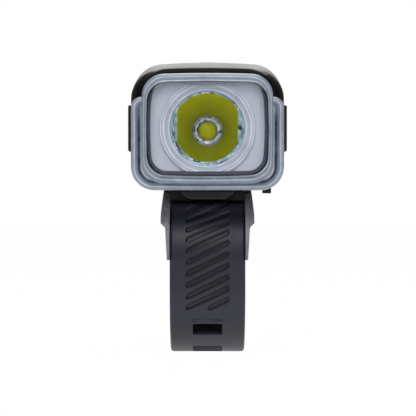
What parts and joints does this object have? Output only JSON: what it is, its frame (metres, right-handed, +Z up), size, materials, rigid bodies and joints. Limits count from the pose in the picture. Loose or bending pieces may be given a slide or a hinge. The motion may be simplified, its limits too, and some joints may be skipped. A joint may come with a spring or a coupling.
{
  "type": "bicycle headlight",
  "caption": "Compact bicycle headlight with a clear wraparound lens and a round reflector, slid onto a saddle bracket that a rubber ladder strap holds to the handlebar.",
  "frame": {"origin": "on the handlebar's axis, in the middle of the lamp's width", "axes": "+X along the handlebar to the lamp's left as seen by the rider facing -Y, +Z up, the beam leaves along -Y"},
  "size_m": [0.0444, 0.069, 0.0851],
  "materials": {
    "housing_black": "satin",
    "clear_lens": "gloss",
    "gasket_rubber": "matte",
    "pale_plate": "satin",
    "ring_silver": "satin",
    "mirror_coat": "gloss",
    "collar_chrome": "gloss",
    "phosphor_yellow": "gloss",
    "white_board": "matte",
    "heat_sink_metal": "satin",
    "cell_wrap": "satin",
    "inner_plastic": "matte",
    "contact_brass": "satin",
    "green_board": "satin",
    "socket_steel": "satin",
    "soft_black": "matte",
    "button_rubber": "matte",
    "trim_black": "satin",
    "bracket_black": "satin",
    "pad_rubber": "matte",
    "screw_steel": "satin",
    "strap_rubber": "matte"
  },
  "bodies": {
    "bracket": {"bracket_base": "bracket_black", "saddle_pad": "pad_rubber", "tab_pin": "screw_steel", "strap_pin": "screw_steel", "strap_front": "strap_rubber"},
    "lamp": {"housing_top": "housing_black", "housing_base": "housing_black", "lens_cover": "clear_lens", "lens_gasket": "gasket_rubber", "face_plate": "pale_plate", "bezel_ring": "ring_silver", "reflector": "mirror_coat", "led_collar": "collar_chrome", "led_dome": "phosphor_yellow", "led_board": "white_board", "heat_sink": "heat_sink_metal", "battery_cell": "cell_wrap", "battery_carrier": "inner_plastic", "battery_contacts": "contact_brass", "control_board": "green_board", "tact_switch": "inner_plastic", "usb_socket": "socket_steel", "usb_board": "green_board", "side_trim_left": "trim_black", "side_trim_right": "trim_black", "lamp_foot": "bracket_black", "foot_screws": "screw_steel", "housing_screws": "screw_steel"},
    "button": {"power_button": "button_rubber"},
    "charge_cover": {"usb_cover": "soft_black"},
    "latch": {"release_tab": "bracket_black"},
    "tail": {"strap_tail": "strap_rubber"}
  },
  "joints": [
    {"name": "lamp_slide", "type": "slide", "parent": "bracket", "child": "lamp", "axis": [0, -1, 0], "range_m": [0, 0.024]},
    {"name": "button_press", "type": "slide", "parent": "lamp", "child": "button", "axis": [0, 0, -1], "range_m": [0, 0.0007], "stiffness_N_per_m": 2500},
    {"name": "cover_swing", "type": "hinge", "parent": "lamp", "child": "charge_cover", "pos_m": [0, 0.01465, 0.02435], "axis": [1, 0, 0], "range_deg": [0, 100]},
    {"name": "tab_press", "type": "hinge", "parent": "bracket", "child": "latch", "pos_m": [0, 0.001, 0.0199], "axis": [1, 0, 0], "range_deg": [0, 6], "stiffness_Nm_per_rad": 0.8},
    {"name": "tail_swing", "type": "hinge", "parent": "bracket", "child": "tail", "pos_m": [0, 0.0203, -0.0009], "axis": [-1, 0, 0], "range_deg": [0, 80]}
  ]
}
